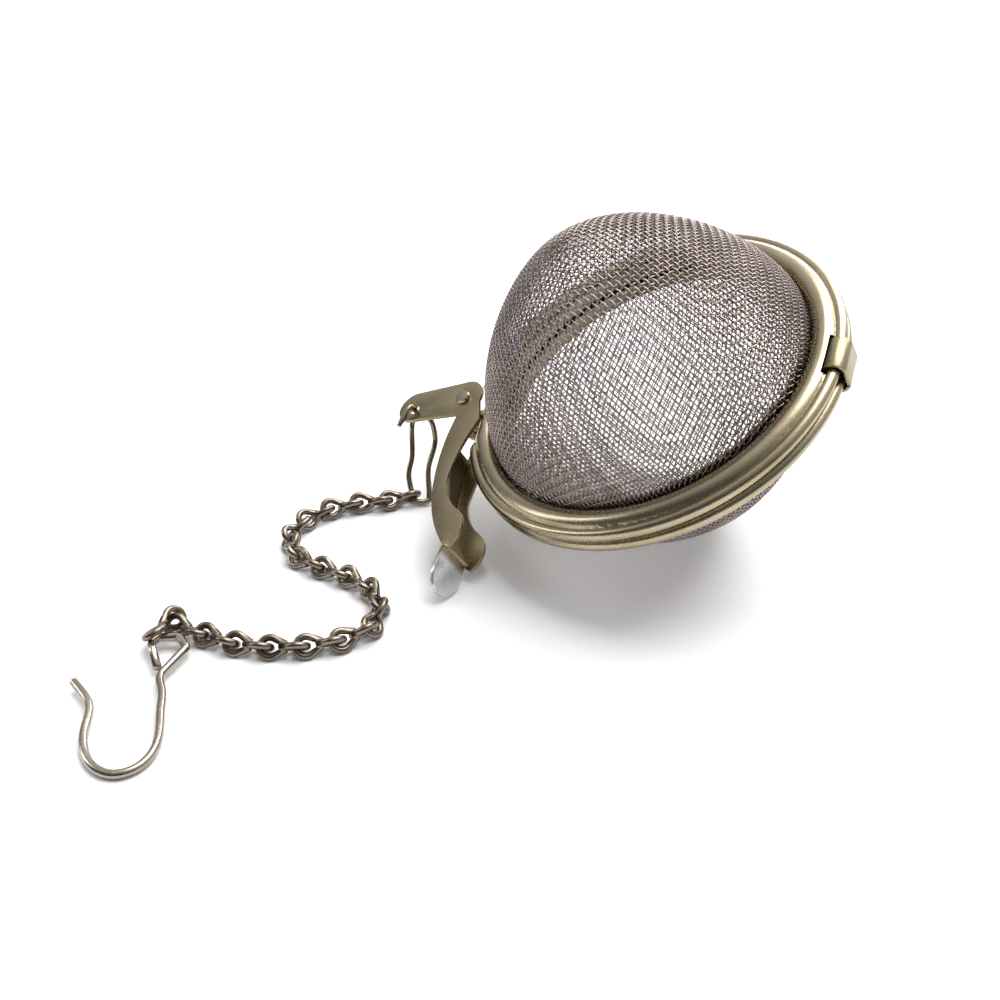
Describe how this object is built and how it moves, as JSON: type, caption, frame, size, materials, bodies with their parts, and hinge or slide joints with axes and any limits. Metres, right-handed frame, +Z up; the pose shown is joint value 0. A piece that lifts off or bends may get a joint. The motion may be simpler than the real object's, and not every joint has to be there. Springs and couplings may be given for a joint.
{
  "type": "tea infuser",
  "caption": "Round mesh tea infuser: two woven-wire domes in hinged pressed rims, closed by a swing latch, with a wire loop, a figure-eight link chain and a cup hook.",
  "frame": {"origin": "middle of the footprint of the whole part as it lies on the table, at the height of the table", "axes": "+Z up; +X from the latch and chain towards the ball and its hinge, the longest extent; +Y from the hook's bend towards the far side of the ball"},
  "size_m": [0.105, 0.085, 0.0509],
  "materials": {
    "mesh_wire": "woven fine wire, slightly dull",
    "rim_steel": "pressed sheet, satin with a warm tint",
    "lever_steel": "pressed sheet, satin",
    "chain_wire": "drawn wire, semi-bright",
    "hook_wire": "drawn wire, bright"
  },
  "bodies": {
    "lower_half": {"lower_mesh_dome": "mesh_wire", "lower_rim": "rim_steel", "lower_mesh_ring": "rim_steel", "hinge_strap": "lever_steel", "latch_lug": "lever_steel", "latch_pivot_pin": "lever_steel"},
    "lid": {"upper_mesh_dome": "mesh_wire", "upper_rim": "rim_steel", "upper_mesh_ring": "rim_steel"},
    "latch": {"latch_lever": "lever_steel"},
    "loop": {"wire_loop": "chain_wire"},
    "link_01": {"chain_link_01": "chain_wire"},
    "link_02": {"chain_link_02": "chain_wire"},
    "link_03": {"chain_link_03": "chain_wire"},
    "link_04": {"chain_link_04": "chain_wire"},
    "link_05": {"chain_link_05": "chain_wire"},
    "link_06": {"chain_link_06": "chain_wire"},
    "link_07": {"chain_link_07": "chain_wire"},
    "link_08": {"chain_link_08": "chain_wire"},
    "link_09": {"chain_link_09": "chain_wire"},
    "link_10": {"chain_link_10": "chain_wire"},
    "link_11": {"chain_link_11": "chain_wire"},
    "link_12": {"chain_link_12": "chain_wire"},
    "link_13": {"chain_link_13": "chain_wire"},
    "link_14": {"chain_link_14": "chain_wire"},
    "link_15": {"chain_link_15": "chain_wire"},
    "link_16": {"chain_link_16": "chain_wire"},
    "link_17": {"chain_link_17": "chain_wire"},
    "link_18": {"chain_link_18": "chain_wire"},
    "hook": {"hook": "hook_wire"}
  },
  "joints": [
    {"name": "lid_hinge", "type": "hinge", "parent": "lower_half", "child": "lid", "pos_m": [0.04838, -0.00175, 0.03573], "axis": [0.3464, 0.8313, 0.4346], "range_deg": [0, 105]},
    {"name": "latch_swing", "type": "hinge", "parent": "lower_half", "child": "latch", "pos_m": [-0.0009, 0.02531, 0.01413], "axis": [0.4797, 0.2412, -0.8436], "range_deg": [-16, 35]},
    {"name": "loop_swing", "type": "hinge", "parent": "latch", "child": "loop", "pos_m": [-0.01091, 0.02782, 0.01307], "axis": [1, 0, 0], "range_deg": [-6, 6]},
    {"name": "link_01_swing", "type": "hinge", "parent": "loop", "child": "link_01", "pos_m": [-0.01036, 0.01964, 0.00151], "axis": [0, 0, 1], "range_deg": [-4, 4]},
    {"name": "link_02_swing", "type": "hinge", "parent": "link_01", "child": "link_02", "pos_m": [-0.01561, 0.0173, 0.00148], "axis": [0.17, -0.9854, 0], "range_deg": [-2, 2]},
    {"name": "link_03_swing", "type": "hinge", "parent": "link_02", "child": "link_03", "pos_m": [-0.02053, 0.01668, 0.00145], "axis": [0, 0, 1], "range_deg": [-4, 4]},
    {"name": "link_04_swing", "type": "hinge", "parent": "link_03", "child": "link_04", "pos_m": [-0.02507, 0.01469, 0.00153], "axis": [0.7278, -0.6858, 0], "range_deg": [-2, 2]},
    {"name": "link_05_swing", "type": "hinge", "parent": "link_04", "child": "link_05", "pos_m": [-0.02859, 0.01108, 0.00151], "axis": [0, 0, 1], "range_deg": [-4, 4]},
    {"name": "link_06_swing", "type": "hinge", "parent": "link_05", "child": "link_06", "pos_m": [-0.03, 0.00621, 0.00157], "axis": [0.94, 0.3412, 0], "range_deg": [-2, 2]},
    {"name": "link_07_swing", "type": "hinge", "parent": "link_06", "child": "link_07", "pos_m": [-0.02827, 0.00138, 0.00157], "axis": [0, 0, 1], "range_deg": [-4, 4]},
    {"name": "link_08_swing", "type": "hinge", "parent": "link_07", "child": "link_08", "pos_m": [-0.0241, -0.00138, 0.00155], "axis": [0.475, 0.88, 0], "range_deg": [-2, 2]},
    {"name": "link_09_swing", "type": "hinge", "parent": "link_08", "child": "link_09", "pos_m": [-0.01973, -0.00358, 0.00152], "axis": [0, 0, 1], "range_deg": [-4, 4]},
    {"name": "link_10_swing", "type": "hinge", "parent": "link_09", "child": "link_10", "pos_m": [-0.01578, -0.0066, 0.00158], "axis": [0.8873, 0.4611, 0], "range_deg": [-2, 2]},
    {"name": "link_11_swing", "type": "hinge", "parent": "link_10", "child": "link_11", "pos_m": [-0.01342, -0.01109, 0.00155], "axis": [0, 0, 1], "range_deg": [-4, 4]},
    {"name": "link_12_swing", "type": "hinge", "parent": "link_11", "child": "link_12", "pos_m": [-0.0143, -0.01625, 0.00156], "axis": [0.5522, -0.8337, 0], "range_deg": [-2, 2]},
    {"name": "link_13_swing", "type": "hinge", "parent": "link_12", "child": "link_13", "pos_m": [-0.01867, -0.01892, 0.00148], "axis": [0, 0, 1], "range_deg": [-4, 4]},
    {"name": "link_14_swing", "type": "hinge", "parent": "link_13", "child": "link_14", "pos_m": [-0.02348, -0.02005, 0.0015], "axis": [0.0178, -0.9998, 0], "range_deg": [-2, 2]},
    {"name": "link_15_swing", "type": "hinge", "parent": "link_14", "child": "link_15", "pos_m": [-0.02842, -0.02011, 0.00149], "axis": [0, 0, 1], "range_deg": [-4, 4]},
    {"name": "link_16_swing", "type": "hinge", "parent": "link_15", "child": "link_16", "pos_m": [-0.03328, -0.01919, 0.00149], "axis": [-0.3877, -0.9218, 0], "range_deg": [-2, 2]},
    {"name": "link_17_swing", "type": "hinge", "parent": "link_16", "child": "link_17", "pos_m": [-0.03778, -0.01715, 0.00143], "axis": [0, 0, 1], "range_deg": [-4, 4]},
    {"name": "link_18_swing", "type": "hinge", "parent": "link_17", "child": "link_18", "pos_m": [-0.04221, -0.01441, 0.00203], "axis": [0.8707, -0.4918, 0], "range_deg": [-2, 2]},
    {"name": "hook_swing", "type": "hinge", "parent": "link_18", "child": "hook", "pos_m": [-0.04344, -0.01841, 0.00174], "axis": [0, 0, 1], "range_deg": [-4, 8]}
  ]
}
